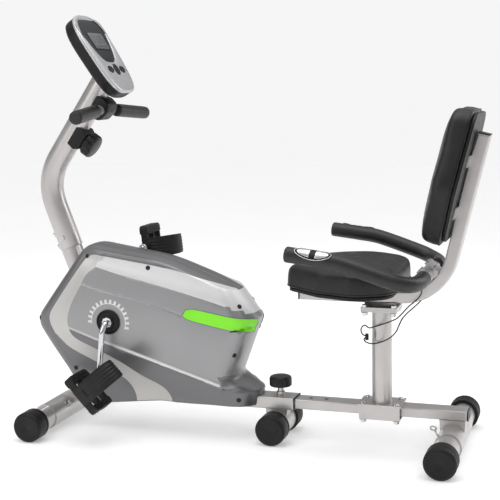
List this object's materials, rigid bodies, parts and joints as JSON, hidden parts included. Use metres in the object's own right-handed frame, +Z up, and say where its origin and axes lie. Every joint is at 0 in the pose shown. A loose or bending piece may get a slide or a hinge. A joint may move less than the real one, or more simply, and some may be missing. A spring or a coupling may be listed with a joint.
{
  "type": "recumbent exercise bike",
  "caption": "Recumbent exercise bike: sliding padded seat with backrest and armrests, shrouded magnetic drive, strapped pedals, bent mast with console and handlebar.",
  "frame": {"origin": "centre of the bounding box at floor level", "axes": "+X from the pedals to the seat, +Y to the rider's right, +Z up"},
  "size_m": [1.2135, 0.496, 1.1056],
  "materials": {
    "silver_paint": "satin",
    "clamp_silver": "satin",
    "black_plastic": "satin",
    "knob_black": "satin",
    "pedal_black": "matte",
    "strap_rubber": "matte",
    "foam": "matte",
    "vinyl": "satin",
    "chrome": "polished",
    "steel": "satin",
    "pulley_nylon": "satin",
    "belt": "matte",
    "shroud_silver": "satin",
    "console_silver": "satin",
    "console_dark": "glossy",
    "button_rubber": "satin",
    "lead_rubber": "satin"
  },
  "bodies": {
    "frame": {"keel": "silver_paint", "front_post": "silver_paint", "flywheel_bracket": "steel", "front_stabilizer": "silver_paint", "front_caps": "black_plastic", "mid_stabilizer": "silver_paint", "mid_caps": "black_plastic", "frame_bolts": "chrome", "shroud_left": "shroud_silver", "shroud_right": "shroud_silver", "shroud_screws": "black_plastic", "crank_cups": "black_plastic", "crank_bearings": "chrome", "flywheel_axle": "steel", "drive_belt": "belt", "mast": "silver_paint", "console_case": "black_plastic", "console_bezel": "console_silver", "console_window": "console_dark", "handlebar": "silver_paint", "grip_left": "foam", "grip_right": "foam", "handlebar_clamp": "black_plastic", "tension_housing": "black_plastic", "rail_bush": "black_plastic"},
    "crank": {"crank": "chrome", "drive_pulley": "pulley_nylon", "pedal_spindles": "chrome"},
    "flywheel": {"flywheel": "steel"},
    "magnet_lever": {"magnet_lever": "steel"},
    "left_pedal": {"pedal_left": "pedal_black", "strap_left": "strap_rubber"},
    "right_pedal": {"pedal_right": "pedal_black", "strap_right": "strap_rubber"},
    "tension_knob": {"tension_knob": "knob_black"},
    "seat_lock": {"lock_knob": "knob_black"},
    "left_button": {"button_left": "button_rubber"},
    "center_button": {"button_center": "button_rubber"},
    "right_button": {"button_right": "button_rubber"},
    "seat": {"slide_rail": "silver_paint", "tube_plugs": "black_plastic", "rear_stabilizer": "silver_paint", "rear_caps": "black_plastic", "seat_post": "silver_paint", "post_saddle": "silver_paint", "seat_bolts": "chrome", "seat_frame": "silver_paint", "seat_pan": "black_plastic", "seat_cushion": "vinyl", "back_board": "black_plastic", "back_cushion": "vinyl", "armrest_bar": "chrome", "arm_foam_left": "foam", "arm_foam_right": "foam", "pulse_sensor_left": "chrome", "pulse_sensor_right": "chrome", "arm_clamp": "clamp_silver", "pulse_lead_left": "lead_rubber", "pulse_lead_right": "lead_rubber", "lead_plug": "lead_rubber"}
  },
  "joints": [
    {"name": "crank_spin", "type": "hinge", "parent": "frame", "child": "crank", "pos_m": [-0.3735, 0, 0.303], "axis": [0, -1, 0], "continuous": true},
    {"name": "flywheel_spin", "type": "hinge", "parent": "frame", "child": "flywheel", "pos_m": [-0.1605, 0, 0.262], "axis": [0, -1, 0], "continuous": true},
    {"name": "tension_turn", "type": "hinge", "parent": "frame", "child": "tension_knob", "pos_m": [-0.49246, 0, 0.79859], "axis": [0.8191, 0, -0.5736], "range_deg": [0, 280]},
    {"name": "magnet_swing", "type": "hinge", "parent": "frame", "child": "magnet_lever", "pos_m": [-0.2175, 0, 0.388], "axis": [0, -1, 0], "range_deg": [0, 8.01]},
    {"name": "left_pedal_spin", "type": "hinge", "parent": "crank", "child": "left_pedal", "pos_m": [-0.39106, -0.179, 0.13592], "axis": [0, -1, 0], "continuous": true},
    {"name": "right_pedal_spin", "type": "hinge", "parent": "crank", "child": "right_pedal", "pos_m": [-0.35594, 0.179, 0.47008], "axis": [0, -1, 0], "continuous": true},
    {"name": "seat_lock_lift", "type": "slide", "parent": "frame", "child": "seat_lock", "axis": [0, 0, 1], "range_m": [0, 0.012], "stiffness_N_per_m": 600, "springref_m": -0.012},
    {"name": "seat_slide", "type": "slide", "parent": "frame", "child": "seat", "axis": [1, 0, 0], "range_m": [-0.12, 0.08]},
    {"name": "left_button_press", "type": "slide", "parent": "frame", "child": "left_button", "axis": [-0.848, 0, -0.5299], "range_m": [0, 0.0015], "stiffness_N_per_m": 400, "springref_m": -0.0005},
    {"name": "center_button_press", "type": "slide", "parent": "frame", "child": "center_button", "axis": [-0.848, 0, -0.5299], "range_m": [0, 0.0015], "stiffness_N_per_m": 400, "springref_m": -0.0005},
    {"name": "right_button_press", "type": "slide", "parent": "frame", "child": "right_button", "axis": [-0.848, 0, -0.5299], "range_m": [0, 0.0015], "stiffness_N_per_m": 400, "springref_m": -0.0005}
  ],
  "couplings": [
    {"joint": "flywheel_spin", "follows": "crank_spin", "ratio": 5.7778},
    {"joint": "magnet_swing", "follows": "tension_turn", "ratio": 0.02857}
  ]
}
